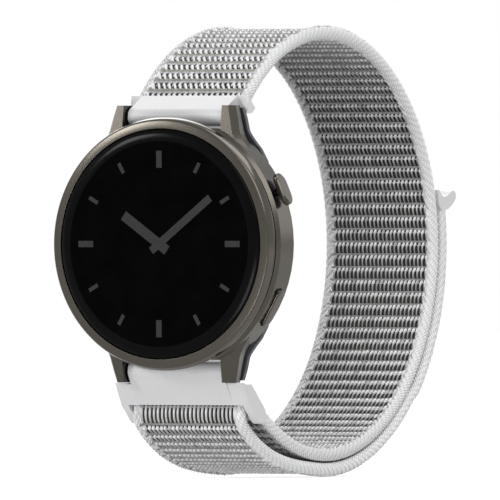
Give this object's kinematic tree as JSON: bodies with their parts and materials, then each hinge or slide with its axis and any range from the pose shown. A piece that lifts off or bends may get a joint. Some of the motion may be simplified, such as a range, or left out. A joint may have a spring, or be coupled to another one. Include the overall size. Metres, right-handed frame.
{
  "type": "hook and loop watch strap on a smartwatch",
  "caption": "Woven hook and loop watch strap with braided edges, closed in a loop on the round smartwatch that it is pinned to by quick-release spring bars",
  "frame": {"origin": "centre of the display glass's front face", "axes": "+X to the push buttons at three o'clock, +Y back through the watch to the far side of the loop, +Z to twelve o'clock"},
  "size_m": [0.0456, 0.0849, 0.0795],
  "materials": {
    "case_metal": "satin gunmetal",
    "display_glass": "polished, black behind",
    "display": "black",
    "dark_polymer": "fine matt",
    "black_rubber": "matt",
    "battery_foil": "satin foil",
    "circuit_board": "solder mask",
    "copper": "bare wire",
    "steel": "satin",
    "pale_plastic": "satin moulded",
    "woven_nylon": "rows of grey and white yarn",
    "braided_edge": "fine white braid",
    "hook_tape": "hooks"
  },
  "bodies": {
    "watch_and_inner_band": {"case_body": "case_metal", "bezel": "case_metal", "glass": "display_glass", "glass_gasket": "black_rubber", "display_panel": "display", "display_carrier": "dark_polymer", "battery": "battery_foil", "main_board": "circuit_board", "charging_coil": "copper", "sensor_module": "dark_polymer", "vibration_motor": "steel", "back_cover": "dark_polymer", "sensor_window": "display_glass", "back_screw_1": "steel", "back_screw_2": "steel", "back_screw_3": "steel", "back_screw_4": "steel", "upper_button_seal": "black_rubber", "upper_button_switch": "dark_polymer", "lower_button_seal": "black_rubber", "lower_button_switch": "dark_polymer", "inner_run_weave": "woven_nylon", "inner_run_left_cord": "braided_edge", "inner_run_right_cord": "braided_edge", "fold_weave": "woven_nylon", "fold_left_cord": "braided_edge", "fold_right_cord": "braided_edge"},
    "upper_connector": {"upper_connector": "pale_plastic", "upper_bar_tube": "steel", "upper_bar_spring": "steel"},
    "upper_bar_plunger": {"upper_bar_plunger": "steel"},
    "lower_connector": {"lower_connector": "pale_plastic", "lower_bar_tube": "steel", "lower_bar_spring": "steel"},
    "lower_bar_plunger": {"lower_bar_plunger": "steel"},
    "upper_button": {"upper_button": "case_metal", "upper_button_clip": "steel"},
    "lower_button": {"lower_button": "case_metal", "lower_button_clip": "steel"},
    "outer_band": {"outer_run_weave": "woven_nylon", "outer_run_left_cord": "braided_edge", "outer_run_right_cord": "braided_edge"},
    "band_end": {"end_run_weave": "woven_nylon", "end_run_left_cord": "braided_edge", "end_run_right_cord": "braided_edge", "hook_patch": "hook_tape", "end_tab": "pale_plastic"}
  },
  "joints": [
    {"name": "upper_button_press", "type": "slide", "parent": "watch_and_inner_band", "child": "upper_button", "axis": [-0.9135, 0, -0.4067], "range_m": [0, 0.0004], "stiffness_N_per_m": 6000, "springref_m": -0.0002},
    {"name": "lower_button_press", "type": "slide", "parent": "watch_and_inner_band", "child": "lower_button", "axis": [-0.866, 0, 0.5], "range_m": [0, 0.0004], "stiffness_N_per_m": 6000, "springref_m": -0.0002},
    {"name": "upper_connector_swing", "type": "hinge", "parent": "watch_and_inner_band", "child": "upper_connector", "pos_m": [0, 0.0074, 0.0224], "axis": [1, 0, 0], "range_deg": [-4, 4]},
    {"name": "upper_bar_release", "type": "slide", "parent": "upper_connector", "child": "upper_bar_plunger", "axis": [-1, 0, 0], "range_m": [0, 0.0013], "stiffness_N_per_m": 900, "springref_m": -0.002, "deforming": ["upper_bar_spring"]},
    {"name": "lower_connector_swing", "type": "hinge", "parent": "watch_and_inner_band", "child": "lower_connector", "pos_m": [0, 0.0074, -0.0224], "axis": [1, 0, 0], "range_deg": [-2, 2]},
    {"name": "lower_bar_release", "type": "slide", "parent": "lower_connector", "child": "lower_bar_plunger", "axis": [-1, 0, 0], "range_m": [0, 0.0013], "stiffness_N_per_m": 900, "springref_m": -0.002, "deforming": ["lower_bar_spring"]},
    {"name": "flap_open", "type": "hinge", "parent": "watch_and_inner_band", "child": "outer_band", "pos_m": [0, 0.01346, -0.03005], "axis": [-1, 0, 0], "range_deg": [0, 90], "deforming": ["fold_weave", "fold_left_cord", "fold_right_cord"]},
    {"name": "end_peel", "type": "hinge", "parent": "outer_band", "child": "band_end", "pos_m": [0, 0.07112, -0.02852], "axis": [-1, 0, 0], "range_deg": [0, 60]}
  ]
}
